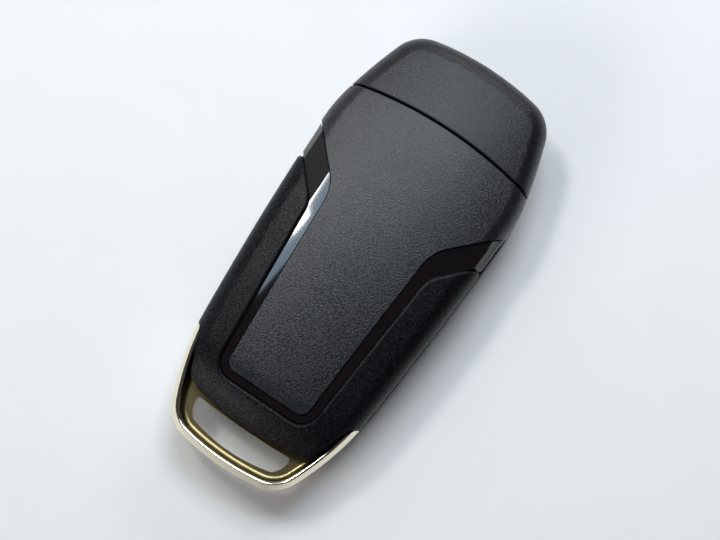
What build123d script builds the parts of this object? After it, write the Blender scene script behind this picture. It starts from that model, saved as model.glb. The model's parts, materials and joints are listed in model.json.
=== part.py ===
from build123d import *
import os
from math import asin, cos, degrees, hypot, radians, sin

# Flip remote key, in millimetres. It lies on its button face as on a table: +Z is its back,
# +Y points at the head, +X is the side that the blade folds into. The origin is the middle
# of its box, on the table.

# Case lengths along Y
HEAD_LENGTH = 13.7
BODY_LENGTH = 48.3
LOOP_LENGTH = 17.2

# Case widths along X: the widest, at the shoulders, and how much narrower the others are
SHOULDER_WIDTH = 36.6
HEAD_TAPER = 9.6
NECK_TAPER = 1.7
TAIL_TAPER = 5.0
LOOP_TAPER = 15.6
SHOULDER_DROP = 7.7
NECK_DROP = 1.1

# Bows and corner radii of the outline
HEAD_BULGE = 1.55
LOOP_BULGE = 1.25
HEAD_BOW = 0.25
NECK_BOW = 0.2
SIDE_BOW = 0.3
LOOP_BOW = 0.75
HEAD_CORNER_R = 6.5
NECK_R = 20.0
SHOULDER_R = 12.0
TAIL_CORNER_R = 12.0
LOOP_CORNER_R = 6.5

# Case depths along Z
FRONT_DEPTH = 7.0
REAR_DEPTH = 9.0
FRONT_WALL = 2.0
COVER_WALL = 1.3
SHELL_WALL = 1.0
HEAD_WALL = 1.6
SEAM_GAP = 0.1
SEAM_OVERLAP = 1.0

# Crown of the back and of the front
CROWN_R = 70.0
LENGTH_R = 400.0
APEX_DROP = 20.7
TAIL_R = 15.0
TAIL_BEND = 35.0
TAIL_START = 0.9
REAR_EDGE_R = 4.0
FRONT_EDGE_R = 3.0
FRONT_TAIL_R = 20.0
FRONT_TAIL_BEND = 18.0

# Parting line of the head cap
PARTING_RISE = 1.6
PARTING_GAP = 0.36
EDGE_R = 0.25

# Back panel, its gloss trim and the grips round it
PANEL_KNEE_WIDTH = 19.1
PANEL_KNEE_DROP = 18.5
PANEL_END_WIDTH = 15.0
PANEL_KNEE_R = 7.5
PANEL_CORNER_R = 1.7
PANEL_SLOPE = 46.9
PANEL_END = 3.6
TRIM_KNEE_SIDE = 1.65
TRIM_KNEE_DROP = 22.4
TRIM_END_SIDE = 1.25
TRIM_END = 1.3
TRIM_KNEE_R = 5.0
TRIM_CORNER_R = 3.1
TRIM_DROP = 0.5
TRIM_SIDE_DROP = 0.2
TRIM_FOLD_WIDTH = 23.0
TRIM_FOLD_ANGLE = 17.0
TRIM_GAP = 0.06
GRIP_LIP_R = 0.6

# Tongue of the case between the arms of the key-ring loop
STEP_SIDE = 1.4
STEP_DROP = 1.0
TONGUE_LENGTH = 9.8
TONGUE_SIDE = 4.2
TONGUE_BULGE = 1.5
TONGUE_CORNER_R = 1.5
STEP_CORNER_R = 1.0

# Key-ring loop
LOOP_GAP = 0.1
RIM_WALL = 1.35
RIM_HEIGHT = 7.8
RIM_BEVEL = 0.6
RIM_BEVEL_HEIGHT = 0.9
RIM_END_SHIFT = 0.3
LOOP_FLOOR = 3.2
LOOP_TAB = 7.9
SLOT_SIDE = 1.4
SLOT_HEIGHT = 4.2
SLOT_FROM_END = 2.7
SLOT_TOP_BOW = 0.35
SLOT_TIP_R = 0.6
SLOT_FLANK_BOW = 0.5
SLOT_FLANK_SIDE = 2.9
SLOT_FLANK_RISE = 1.0
SLOT_BAR = 0.45
SLOT_BAR_HEIGHT = 0.6
RIDGE_SIDE = 1.9
RIDGE_RISE = 1.5
RIDGE_BOW = 0.5
BOWL_R = 1.0
POST_R = 1.5
POST_SPACING = 13.0
POST_FROM_TONGUE_END = 4.4

# Blade and its carrier
BLADE_WIDTH = 8.6
BLADE_THICKNESS = 2.3
BLADE_REACH = 51.0
BLADE_ROOT_GAP = 1.0
BLADE_SIDE = 0.4
BLADE_TIP = 2.6
TRACK_WIDTH = 2.4
TRACK_DEPTH = 0.6
TRACK_SWING = 1.1
TRACK_PITCH = 6.5
PIVOT_RISE = 3.8
ARM_THICKNESS = 3.6
ARM_WIDTH = 10.0
ARM_LENGTH = 10.0
ARM_CORNER_R = 1.0
DISC_R = 7.6
HUB_R = 3.6
HUB_BORE_R = 2.7
HUB_WEB = 0.8
HUB_DROP = 3.3
PIN_R = 0.9
PIN_FROM_ARM_END = 2.6
SLOT_CLEARANCE = 0.35
CARRIER_CLEARANCE = 0.3
RUNNING_CLEARANCE = 0.06
PIN_CLEARANCE = 0.02
SEAT_WALL = 1.2

# Release button and its spring
RELEASE_R = 4.5
RELEASE_TRAVEL = 1.4
RELEASE_CAP = 2.0
RELEASE_RING_WIDTH = 1.0
RELEASE_RING_DEPTH = 0.8
PLUNGER_CLEARANCE = 0.08
PLUNGER_LENGTH = 3.35
SPRING_WIRE = 0.6
SPRING_CLEARANCE = 0.3
SPRING_TURNS = 5
SPRING_SIDES = 6
END_PLAY = 0.1

# Remote buttons
BUTTON_WIDTH = 15.6
BUTTON_HEIGHT = 8.4
BUTTON_CORNER_R = 2.4
BUTTON_PITCH = 11.0
BUTTON_RECESS = 0.25
BUTTON_TRAVEL = 0.45
BUTTON_GAP = 0.15
BUTTON_FLANGE = 0.7
BUTTON_LIP = 0.7
BUTTON_DISH_R = 60.0
BUTTON_DISH = 0.25
BUTTON_ROW_DROP = 25.5
BEZEL_MARGIN = 1.9
BEZEL_THICKNESS = 0.8
BEZEL_RECESS = 0.1
BEZEL_CORNER_R = 3.6
MAT_THICKNESS = 0.5
MAT_FRAME = 0.9
NUB_R = 1.5
NUB_HEIGHT = 1.1

# Electronics
BOARD_THICKNESS = 1.0
BOARD_TOP_DROP = 6.2
BOARD_LENGTH = 39.7
BOARD_LIFT = 7.0
BOARD_POST_R = 1.0
BOARD_POST_SIDE = 1.4
BOARD_POST_END = 1.0
BOARD_POST_BAY = 3.0
BOARD_POST_DROP = 5.3
TRAY_FLOOR = 0.6
TRAY_WALL = 0.6
TRAY_FIT = 0.2
CELL_SIDE = 1.65
CELL_HEIGHT = 3.2
CELL_STEP = 0.5
CELL_DROP = 30.2
CELL_FIT = 0.2
CELL_RING_HEIGHT = 2.2
TRAY_NOTCH = 2.0
CONTACT_SHEET = 0.25
CONTACT_WIDTH = 5.0
CONTACT_HOOK = 2.4
CONTACT_RISE = 4.0
CONTACT_CORNER_R = 1.0
CONTACT_FOOT = 2.0
NEGATIVE_SIZE = (6.0, 13.0)
SWITCH_SIZE = 4.4
SWITCH_BODY = 1.2
SWITCH_PLUNGER = 0.4
SWITCH_PLUNGER_R = 1.0
SWITCH_X = -2.0
CHIP_SIZE = 5.0
CHIP_HEIGHT = 0.9
CHIP_SIDE = 3.4
CHIP_DROP = 13.8
CRYSTAL_SIZE = (3.2, 1.5)
CRYSTAL_HEIGHT = 0.7
CRYSTAL_DROP = 18.9
COIL_SIZE = (7.0, 6.0)
COIL_HEIGHT = 2.4
COIL_CORE = 3.0
COIL_TOP = 0.3
COIL_SIDE = 3.9
COIL_DROP = 32.3
PASSIVE_SIZE = (1.6, 0.8)
PASSIVE_HEIGHT = 0.5
PASSIVE_PITCH = 2.4
PASSIVE_SIDE = 1.3
PASSIVE_DROP = 21.7
PASSIVE_ROWS = 3
PASSIVE_COLUMNS = 2
TRANSPONDER_SIZE = (6.0, 11.0)
TRANSPONDER_HEIGHT = 3.0
TRANSPONDER_SIDE = 5.0
TRANSPONDER_RISE = 3.5
CRADLE_WALL = 0.8

# Screws that join the case
SCREW_R = 0.9
SCREW_HEAD_R = 1.5
SCREW_HEAD = 0.6
SCREW_LENGTH = 8.0
SCREW_SINK = 0.3
BOSS_R = 1.9
SCREW_X = -11.6
SCREW_DROP = 4.0
TAIL_SCREW_RISE = 0.2

# Reach of a cut past the piece, and the shortest edge that a drawn-in outline keeps
MARGIN = 1.0
SLIVER = 0.05

# Widths and levels that follow from the sizes above
HEAD_WIDTH = SHOULDER_WIDTH - HEAD_TAPER
NECK_WIDTH = SHOULDER_WIDTH - NECK_TAPER
TAIL_WIDTH = SHOULDER_WIDTH - TAIL_TAPER
LOOP_WIDTH = SHOULDER_WIDTH - LOOP_TAPER
OVERRUN = SHOULDER_WIDTH / 2
LENGTH = HEAD_LENGTH + BODY_LENGTH + LOOP_LENGTH
Y_HEAD = LENGTH / 2
Y_LOOP = -LENGTH / 2
Y_PARTING = Y_HEAD - HEAD_LENGTH
Y_CORNER = Y_LOOP + LOOP_LENGTH
Y_TONGUE = Y_CORNER - TONGUE_LENGTH
Z_SEAM = FRONT_DEPTH
Z_TOP = FRONT_DEPTH + REAR_DEPTH
BLADE_X = TAIL_WIDTH / 2 - BLADE_SIDE - BLADE_WIDTH / 2
PIVOT = (BLADE_X / 2, Y_PARTING + PIVOT_RISE)
Y_TAB = Y_TONGUE + LOOP_TAB
SLOT_TOP = Y_LOOP + SLOT_FROM_END + SLOT_HEIGHT
CROWN_APEX = Y_PARTING - APEX_DROP
CARRIER_LOW = Z_SEAM - ARM_THICKNESS / 2
CARRIER_HIGH = Z_SEAM + ARM_THICKNESS / 2
HUB_TOP = Z_TOP - HUB_DROP
RELEASE_ROOM = BUTTON_RECESS + RELEASE_CAP + RELEASE_TRAVEL + END_PLAY
ARM_END = PIVOT[1] - ARM_LENGTH
BLADE_ROOT = PIVOT[1] - HUB_R - BLADE_ROOT_GAP
BLADE_PIN = (BLADE_X, ARM_END + PIN_FROM_ARM_END)
LIP_LEVEL = Z_SEAM + REAR_DEPTH / 3
WIDE = SHOULDER_WIDTH
PLUNGER_R = HUB_BORE_R - PLUNGER_CLEARANCE
BUTTON_ROW_Y = Y_PARTING - BUTTON_ROW_DROP
BUTTONS = {"lock_button": (0, BUTTON_ROW_Y + BUTTON_PITCH),
           "unlock_button": (0, BUTTON_ROW_Y),
           "boot_button": (0, BUTTON_ROW_Y - BUTTON_PITCH)}
MAT_REACH = BUTTON_FLANGE + 2 * TRAY_FIT + MAT_FRAME
MAT_SIZE = (BUTTON_WIDTH + 2 * MAT_REACH, 2 * BUTTON_PITCH + BUTTON_HEIGHT + 2 * MAT_REACH)
MAT_LOW = FRONT_WALL + END_PLAY / 2 + BUTTON_LIP + BUTTON_TRAVEL + END_PLAY
BOARD_LOW = BOARD_LIFT
BOARD_HIGH = BOARD_LOW + BOARD_THICKNESS
BOARD_Y = (Y_PARTING - BOARD_TOP_DROP - BOARD_LENGTH, Y_PARTING - BOARD_TOP_DROP)
BAY_X = BLADE_X - BLADE_WIDTH / 2 - SLOT_CLEARANCE
CELL_LEFT = COVER_WALL + SHELL_WALL + CELL_SIDE - SHOULDER_WIDTH / 2
CELL_R = (BAY_X - TRAY_WALL - CELL_FIT - CELL_LEFT) / 2
CELL = (BAY_X - TRAY_WALL - CELL_FIT - CELL_R, Y_PARTING - CELL_DROP)
TRANSPONDER = (TRANSPONDER_SIDE - HEAD_WIDTH / 2, Y_PARTING + TRANSPONDER_RISE)
SCREWS = [(SCREW_X, Y_PARTING - SCREW_DROP), (0, Y_CORNER + TAIL_SCREW_RISE)]
BOARD_LEFT = COVER_WALL + SHELL_WALL + TRAY_FIT - TAIL_WIDTH / 2
BOARD_RIGHT = BAY_X - TRAY_WALL - TRAY_FIT
BOARD_POSTS = [(BOARD_LEFT + BOARD_POST_SIDE, BOARD_Y[1] - BOARD_POST_DROP),
               (BOARD_LEFT + BOARD_POST_SIDE, BOARD_Y[0] + BOARD_POST_SIDE),
               (BOARD_RIGHT - BOARD_POST_BAY, BOARD_Y[1] - BOARD_POST_END),
               (BOARD_RIGHT - BOARD_POST_BAY, BOARD_Y[0] + BOARD_POST_END)]
CHIP_CENTRE = (BOARD_LEFT + CHIP_SIDE, BOARD_Y[1] - CHIP_DROP)
CRYSTAL_CENTRE = (BOARD_LEFT + CHIP_SIDE, BOARD_Y[1] - CRYSTAL_DROP)
COIL_CENTRE = (BOARD_LEFT + COIL_SIDE, BOARD_Y[1] - COIL_DROP)
PASSIVE_START = (BOARD_LEFT + PASSIVE_SIDE, BOARD_Y[1] - PASSIVE_DROP)


def plate(face, low, high):
    """The face as a plate from one level to another."""
    return extrude(Plane.XY.offset(low) * face, amount=high - low)


def block(x, y, z):
    """A box from three pairs of limits."""
    size = (x[1] - x[0], y[1] - y[0], z[1] - z[0])
    centre = ((x[0] + x[1]) / 2, (y[0] + y[1]) / 2, (z[0] + z[1]) / 2)
    return Pos(*centre) * Box(*size)


def post(centre, radius, low, high):
    """An upright round post."""
    return Pos(centre[0], centre[1], (low + high) / 2) * Cylinder(radius, high - low)


def ring(centre, outer, inner, low, high):
    """An upright tube."""
    return post(centre, outer, low, high) - post(centre, inner, low - MARGIN, high + MARGIN)


def pad(centre, size, corner, low, high):
    """A plate with rounded corners."""
    return plate(Pos(*centre) * RectangleRounded(size[0], size[1], corner), low, high)


def bowed(start, end, bow):
    """An arc between two points that stands to the right of the line by the bow."""
    along = (end[0] - start[0], end[1] - start[1])
    length = hypot(*along)
    middle = ((start[0] + end[0]) / 2 + bow * along[1] / length,
              (start[1] + end[1]) / 2 - bow * along[0] / length)
    return ThreePointArc(start, middle, end)


def round_at(face, point, radius):
    """Rounds the corner at a point and the one at its mirror image."""
    corners = face.vertices().filter_by(
        lambda v: hypot(abs(v.X) - point[0], v.Y - point[1]) < 0.01)
    return fillet(corners, radius)


def mirrored_face(right, ends):
    """A face from the edges of its right side and the edges that cross the middle."""
    return make_face(right + [edge.mirror(Plane.YZ) for edge in right] + ends)


def joint(first, second):
    """The point where two neighbouring edges meet, halfway over any sliver between them."""
    pairs = [(first @ here, second @ there) for here in (0, 1) for there in (0, 1)]
    near, far = min(pairs, key=lambda pair: (pair[0] - pair[1]).length)
    return (near + far) / 2


def grown(face, amount):
    """A face grown by the amount, its edges as plain lines and arcs without slivers."""
    wire = offset(face, amount=amount).faces()[0].outer_wire()
    old = [edge for edge in wire.order_edges() if edge.length > SLIVER]
    edges = []
    for before, edge, after in zip(old[-1:] + old[:-1], old, old[1:] + old[:1]):
        start, end = joint(before, edge), joint(edge, after)
        straight = edge.geom_type == GeomType.LINE
        edges.append(Line(start, end) if straight else ThreePointArc(start, edge @ 0.5, end))
    return make_face(edges)


def key_outline():
    """The whole key from above: head, body and loop."""
    head = (HEAD_WIDTH / 2, Y_HEAD - HEAD_BULGE)
    neck = (NECK_WIDTH / 2, Y_PARTING - NECK_DROP)
    shoulder = (SHOULDER_WIDTH / 2, Y_PARTING - SHOULDER_DROP)
    tail = (TAIL_WIDTH / 2, Y_CORNER)
    loop = (LOOP_WIDTH / 2, Y_LOOP + LOOP_BULGE)
    right = [bowed(neck, head, HEAD_BOW), bowed(shoulder, neck, NECK_BOW),
             bowed(tail, shoulder, SIDE_BOW), bowed(loop, tail, LOOP_BOW)]
    ends = [ThreePointArc((-head[0], head[1]), (0, Y_HEAD), head),
            ThreePointArc((-loop[0], loop[1]), (0, Y_LOOP), loop)]
    face = mirrored_face(right, ends)
    for corner, radius in ((head, HEAD_CORNER_R), (neck, NECK_R), (shoulder, SHOULDER_R),
                           (tail, TAIL_CORNER_R), (loop, LOOP_CORNER_R)):
        face = round_at(face, corner, radius)
    return face


def tongue_zone():
    """All that lies above the shell's lower corners, and the tongue between the loop's arms."""
    top = (WIDE, Y_HEAD + OVERRUN)
    side = (WIDE, Y_CORNER + (WIDE - TAIL_WIDTH / 2) * STEP_DROP / STEP_SIDE)
    step = (TAIL_WIDTH / 2 - STEP_SIDE, Y_CORNER - STEP_DROP)
    end = (TAIL_WIDTH / 2 - TONGUE_SIDE, Y_TONGUE + TONGUE_BULGE)
    right = [Line(top, side), Line(side, step), Line(step, end)]
    ends = [Line((-top[0], top[1]), top),
            ThreePointArc((-end[0], end[1]), (0, Y_TONGUE), end)]
    face = mirrored_face(right, ends)
    face = round_at(face, end, TONGUE_CORNER_R)
    return round_at(face, step, STEP_CORNER_R)


def head_zone(shift):
    """What lies above the parting line, moved along Y by the shift."""
    radius = ((NECK_WIDTH / 2) ** 2 + PARTING_RISE ** 2) / 2 / PARTING_RISE
    low = Y_PARTING + shift - radius + (radius ** 2 - WIDE ** 2) ** 0.5
    arc = ThreePointArc((-WIDE, low), (0, Y_PARTING + shift), (WIDE, low))
    top = Y_HEAD + OVERRUN
    rest = Polyline((WIDE, low), (WIDE, top), (-WIDE, top), (-WIDE, low))
    return make_face([arc] + rest.edges())


def shield_zone(knee, knee_r, end_half, end_y, corner_r):
    """Full width at the top, a slope on each side to the knee, and a tapered tongue below."""
    rise = (WIDE - knee[0]) * sin(radians(PANEL_SLOPE)) / cos(radians(PANEL_SLOPE))
    side = (WIDE, knee[1] + rise)
    top = (WIDE, Y_HEAD + OVERRUN)
    end = (end_half, end_y)
    right = [Line(top, side), Line(side, knee), Line(knee, end)]
    ends = [Line((-top[0], top[1]), top), Line((-end[0], end[1]), end)]
    face = mirrored_face(right, ends)
    face = round_at(face, knee, knee_r)
    return round_at(face, end, corner_r)


def panel_zone():
    """The back panel from above."""
    knee = (PANEL_KNEE_WIDTH / 2, Y_PARTING - PANEL_KNEE_DROP)
    return shield_zone(knee, PANEL_KNEE_R, PANEL_END_WIDTH / 2, Y_CORNER - PANEL_END,
                       PANEL_CORNER_R)


def trim_zone():
    """The back panel and its gloss trim from above."""
    knee = (PANEL_KNEE_WIDTH / 2 + TRIM_KNEE_SIDE, Y_PARTING - TRIM_KNEE_DROP)
    return shield_zone(knee, TRIM_KNEE_R, PANEL_END_WIDTH / 2 + TRIM_END_SIDE,
                       Y_CORNER - PANEL_END - TRIM_END, TRIM_CORNER_R)


def arc_in_length(radius, centre, start, end):
    """An arc in the plane of Y and Z, by angles from +Z towards -Y."""
    def at(angle):
        turn = radians(angle)
        return (0, centre[0] - radius * sin(turn), centre[1] + radius * cos(turn))
    return ThreePointArc(at(start), at((start + end) / 2), at(end))


def tail_path(level, crown_r, tail_r):
    """The ridge of the back: a long shallow arc, then the roll down to the tail."""
    centre = (CROWN_APEX, level - crown_r)
    start = -degrees(asin((Y_HEAD + OVERRUN - CROWN_APEX) / crown_r))
    bend = degrees(asin((CROWN_APEX - Y_CORNER + TAIL_START) / crown_r))
    main = arc_in_length(crown_r, centre, start, bend)
    reach = crown_r - tail_r
    tail_centre = (centre[0] - reach * sin(radians(bend)),
                   centre[1] + reach * cos(radians(bend)))
    tail = arc_in_length(tail_r, tail_centre, bend, bend + TAIL_BEND)
    return [main, tail, Line(tail @ 1, (tail @ 1) + (tail % 1) * LOOP_LENGTH)]


def rear_crown(inset):
    """All that lies under the crowned back, lowered by the inset."""
    edges = tail_path(Z_TOP - inset, LENGTH_R, TAIL_R - inset)
    reach = WIDE / 2 + 2 * REAR_EDGE_R
    edge = -reach * reach / 2 / CROWN_R
    depth = -REAR_DEPTH - 2 * MARGIN
    section = make_face([Line((-reach, depth), (reach, depth)), Line((reach, depth), (reach, edge)),
                         ThreePointArc((reach, edge), (0, 0), (-reach, edge)),
                         Line((-reach, edge), (-reach, depth))])
    start = Plane(origin=edges[0] @ 0, z_dir=edges[0] % 0, x_dir=(1, 0, 0))
    return sweep(start * section, Wire(edges))


def rim_edges(solid, face):
    """The edges of a body that follow its outline, away from the seam."""
    outline = face.outer_wire() if hasattr(face, "outer_wire") else face.faces()[0].outer_wire()
    found = []
    for edge in solid.edges():
        middle = edge @ 0.5
        upright = abs((edge % 0.5).Z) > 0.9
        near_seam = abs(middle.Z - Z_SEAM) < MARGIN
        if not upright and not near_seam and \
                outline.distance_to(Vertex(middle.X, middle.Y, 0)) < 0.02:
            found.append(edge)
    return found


def drawn_in(inset):
    """The outline of the key, drawn in by the inset."""
    face = key_outline()
    return grown(face, -inset) if inset > 0 else face


def rear_body(inset, side_inset=None):
    """The back half of the key as one solid, drawn in by the inset."""
    side = inset if side_inset is None else side_inset
    face = drawn_in(side)
    solid = plate(face, Z_SEAM, Z_TOP + MARGIN) & rear_crown(inset)
    return fillet(rim_edges(solid, face), max(REAR_EDGE_R - side * 0.8, 1.2))


def front_crown(inset):
    """All that lies over the front: a flat field that rises at the tail."""
    bend = Y_CORNER - TAIL_START
    radius = FRONT_TAIL_R - inset
    turn = radians(FRONT_TAIL_BEND)
    main = Line((0, Y_HEAD + OVERRUN, inset), (0, bend, inset))
    tail = ThreePointArc(
        main @ 1,
        (0, bend - radius * sin(turn / 2), inset + radius * (1 - cos(turn / 2))),
        (0, bend - radius * sin(turn), inset + radius * (1 - cos(turn))))
    end = Line(tail @ 1, (tail @ 1) + (tail % 1) * LOOP_LENGTH)
    top = Z_SEAM + MARGIN
    low = end @ 1
    back = Polyline(low, (0, low.Y, top), (0, Y_HEAD + OVERRUN, top), main @ 0)
    profile = make_face([main, tail, end] + back.edges())
    return extrude(profile, amount=WIDE, dir=(1, 0, 0), both=True)


def front_body(inset):
    """The front half of the key as one solid, drawn in by the inset."""
    face = drawn_in(inset)
    solid = plate(face, -MARGIN, Z_SEAM - SEAM_GAP) & front_crown(inset)
    return fillet(rim_edges(solid, face), max(FRONT_EDGE_R - inset * 0.8, 1.0))


def shell_plan():
    """The plastic case from above: the outline less the loop and its arms."""
    return key_outline() & tongue_zone()


def body_plan():
    """The case from above without the head cap."""
    return shell_plan() - head_zone(-PARTING_GAP / 2)


def inside(body, inset):
    """The part of a drawn-in body that keeps the wall along the tongue too."""
    return body & plate(grown(tongue_zone(), -inset), -MARGIN, Z_TOP)


def blade_slot():
    """The room that the blade and its carrier need through the sides of the case."""
    low = BLADE_X - BLADE_WIDTH / 2 - SLOT_CLEARANCE
    half = BLADE_THICKNESS / 2 + SLOT_CLEARANCE
    tip = PIVOT[1] - BLADE_REACH - SLOT_CLEARANCE
    blade = block((low, WIDE), (tip, Y_HEAD + MARGIN), (Z_SEAM - half, Z_SEAM + half))
    left = -ARM_WIDTH / 2 - CARRIER_CLEARANCE
    arm = block((left, WIDE), (PIVOT[1] - ARM_LENGTH - CARRIER_CLEARANCE, Y_HEAD + MARGIN),
                (CARRIER_LOW - CARRIER_CLEARANCE, CARRIER_HIGH + CARRIER_CLEARANCE))
    return blade + arm


def loop_floor_plan():
    """The loop's floor from above, with the tab that the case clamps."""
    inner = drawn_in(RIM_WALL)
    return inner - Pos(0, Y_TAB + WIDE * 2) * Rectangle(4 * WIDE, 4 * WIDE)


def loop_pocket():
    """The room that the loop's tab takes in the case."""
    half = LOOP_FLOOR / 2 + LOOP_GAP / 2
    return block((-WIDE, WIDE), (Y_LOOP, Y_TAB + LOOP_GAP), (Z_SEAM - half, Z_SEAM + half))


def lipped(solid, zone, radius):
    """Rounds the edges of the back along the sides of a zone."""
    boundary = zone.faces()[0].outer_wire()
    lips = []
    for edge in solid.edges():
        middle = edge @ 0.5
        if abs((edge % 0.5).Z) < 0.8 and middle.Z > LIP_LEVEL and \
                boundary.distance_to(Vertex(middle.X, middle.Y, 0)) < 0.01:
            lips.append(edge)
    return fillet(lips, radius)


def make_grips(cover):
    """The textured grips with their rounded lip along the trim."""
    zone = grown(trim_zone(), TRIM_GAP)
    solid = rear_body(0) & plate(body_plan() - zone, Z_SEAM - SEAM_OVERLAP, Z_TOP)
    return lipped(solid, zone, GRIP_LIP_R) - cover


def make_rear_shell():
    """The back half of the body: a shell under the panel and the trim, with its grips."""
    inset = COVER_WALL + SHELL_WALL
    cover = rear_body(COVER_WALL)
    room = inside(rear_body(inset), inset)
    for centre in SCREWS:
        room -= post(centre, BOSS_R, 0, Z_TOP)
    shell = (cover & plate(body_plan(), Z_SEAM - SEAM_OVERLAP, Z_TOP)) - room
    for centre in SCREWS:
        shell -= post(centre, SCREW_R + PIN_CLEARANCE, 0, Z_TOP)
        shell -= post(centre, SCREW_HEAD_R + PIN_CLEARANCE, screw_seat(centre), Z_TOP)
    shell = shell - blade_slot() - loop_pocket()
    return shell + (make_grips(cover) - blade_slot())


def make_rear_panel():
    """The shield-shaped back panel with its tapered tongue."""
    solid = rear_body(0) & plate(body_plan() & panel_zone(), Z_SEAM - SEAM_OVERLAP, Z_TOP)
    solid = lipped(solid, head_zone(-PARTING_GAP / 2), EDGE_R)
    return solid - rear_body(COVER_WALL) - blade_slot()


def make_gloss_trim():
    """The U-shaped gloss trim, folded down outside the folds on its two slopes."""
    plan = (trim_zone() - grown(panel_zone(), TRIM_GAP)) & shell_plan()
    band = rear_body(TRIM_DROP, TRIM_SIDE_DROP) - rear_body(COVER_WALL)
    trim = (band & plate(plan, Z_SEAM - SEAM_OVERLAP, Z_TOP)) - blade_slot()
    fold = TRIM_FOLD_WIDTH / 2
    level = Z_TOP - TRIM_DROP - fold ** 2 / 2 / CROWN_R
    for side, angle in ((1, TRIM_FOLD_ANGLE), (-1, -TRIM_FOLD_ANGLE)):
        reach = sorted((0, side * WIDE))
        above = block(reach, (Y_LOOP, Y_HEAD), (0, REAR_DEPTH))
        trim -= Pos(side * fold, 0, level) * Rot(0, angle, 0) * above
    return trim


def make_head_cap():
    """The cover of the head, with the seat of the carrier's hub inside."""
    zone = head_zone(PARTING_GAP / 2)
    body = rear_body(0) & plate(zone, Z_SEAM - SEAM_OVERLAP, Z_TOP)
    body = lipped(body, zone, EDGE_R)
    seat_r = HUB_R + RUNNING_CLEARANCE
    low = CARRIER_HIGH + CARRIER_CLEARANCE
    stem = ring(PIVOT, seat_r + SEAT_WALL, seat_r, HUB_TOP - SEAT_WALL, Z_TOP)
    room = rear_body(HEAD_WALL) - (stem & plate(head_zone(SEAT_WALL / 2), 0, Z_TOP))
    seat = ring(PIVOT, seat_r + SEAT_WALL, seat_r, low, HUB_TOP)
    return (body - room - blade_slot()) + seat


def make_front_shell():
    """The front half of the case with its button openings, ribs, bosses and hub seat."""
    room = inside(front_body(FRONT_WALL), FRONT_WALL)
    room -= mat_frame()
    for centre in SCREWS:
        room -= post(centre, BOSS_R, 0, Z_SEAM)
    for centre in BOARD_POSTS:
        room -= post(centre, BOARD_POST_R, 0, BOARD_LOW)
    loop_posts = [(side * POST_SPACING / 2, Y_TONGUE + POST_FROM_TONGUE_END) for side in (-1, 1)]
    for centre in loop_posts:
        room -= post(centre, BOSS_R, 0, Z_SEAM)
    room -= release_cup()
    room -= transponder_cradle()
    shell = inside(front_body(0), 0) - room
    for centre in SCREWS:
        shell -= post(centre, SCREW_R, FRONT_WALL, Z_SEAM)
    shell = shell - loop_pocket() - blade_slot()
    for centre in loop_posts:
        shell += post(centre, POST_R, FRONT_WALL, Z_SEAM + LOOP_FLOOR / 2)
    shell -= bezel_plate(0, -MARGIN, BEZEL_RECESS + BEZEL_THICKNESS)
    for centre in BUTTONS.values():
        shell -= button_pad(centre, BUTTON_GAP, -MARGIN, FRONT_WALL + MARGIN)
    shell -= post(PIVOT, RELEASE_R + BUTTON_GAP, -MARGIN, RELEASE_ROOM)
    shell -= post(PIVOT, HUB_R + RUNNING_CLEARANCE, -MARGIN, Z_SEAM)
    return shell - post(PIVOT, RELEASE_R + BUTTON_GAP + RELEASE_RING_WIDTH, -MARGIN,
                        BEZEL_RECESS + RELEASE_RING_DEPTH)


def mat_frame():
    """The raised frame inside the front that the button mat lies on."""
    width, height = MAT_SIZE
    corner = BEZEL_CORNER_R
    centre = (0, BUTTON_ROW_Y)
    inner = (width - 2 * MAT_FRAME, height - 2 * MAT_FRAME)
    frame = pad(centre, MAT_SIZE, corner, FRONT_WALL / 2, MAT_LOW)
    return frame - pad(centre, inner, corner - MAT_FRAME, FRONT_WALL / 2, MAT_LOW)


def release_cup():
    """The cup round the release button, whose rim guides the carrier's hub."""
    outer = RELEASE_R + BUTTON_GAP + SEAT_WALL
    return post(PIVOT, outer, FRONT_WALL / 2, CARRIER_LOW - CARRIER_CLEARANCE)


def transponder_cradle():
    """Two ribs and a stop that hold the transponder wedge."""
    x, y = TRANSPONDER
    inner, half = TRANSPONDER_SIZE[0] / 2, TRANSPONDER_SIZE[1] / 2
    outer = inner + CRADLE_WALL
    levels = (FRONT_WALL / 2, FRONT_WALL + TRANSPONDER_HEIGHT * 0.7)
    cradle = block((x - outer, x + outer), (y - half - CRADLE_WALL, y + half / 2), levels)
    return cradle - block((x - inner, x + inner), (y - half, y + half), levels)


def bevelled_outline():
    """The whole outline as a plate with a bevel above and below, wider at the loop's end."""
    outline = key_outline()
    half = RIM_HEIGHT / 2 - RIM_BEVEL_HEIGHT
    crest = Pos(0, RIM_END_SHIFT) * drawn_in(RIM_BEVEL)
    solid = plate(outline, Z_SEAM - half, Z_SEAM + half)
    for side in (-1, 1):
        base = Plane.XY.offset(Z_SEAM + side * half) * outline
        top = Plane.XY.offset(Z_SEAM + side * RIM_HEIGHT / 2) * crest
        solid += loft([base, top], ruled=True)
    return solid


def bowl():
    """The room within the loop's rim, above and below the floor, with rounded edges."""
    room = plate(drawn_in(RIM_WALL), Z_SEAM + LOOP_FLOOR / 2, Z_TOP)
    room = fillet(room.edges().group_by(Axis.Z)[0], BOWL_R)
    return room + room.mirror(Plane.XY.offset(Z_SEAM))


def ridge_plan():
    """The ridge over the slot from above, whose ends curve up into the arms."""
    low = SLOT_TOP + SLOT_BAR / 2
    tip = (LOOP_WIDTH / 2 - SLOT_SIDE, low + SLOT_TOP_BOW)
    end = (LOOP_WIDTH / 2 + RIDGE_SIDE, tip[1] + RIDGE_RISE)
    right = bowed(tip, end, RIDGE_BOW)
    middle = ThreePointArc((-tip[0], tip[1]), (0, low), tip)
    return trace(Curve() + [right.mirror(Plane.YZ), middle, right], SLOT_BAR)


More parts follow.
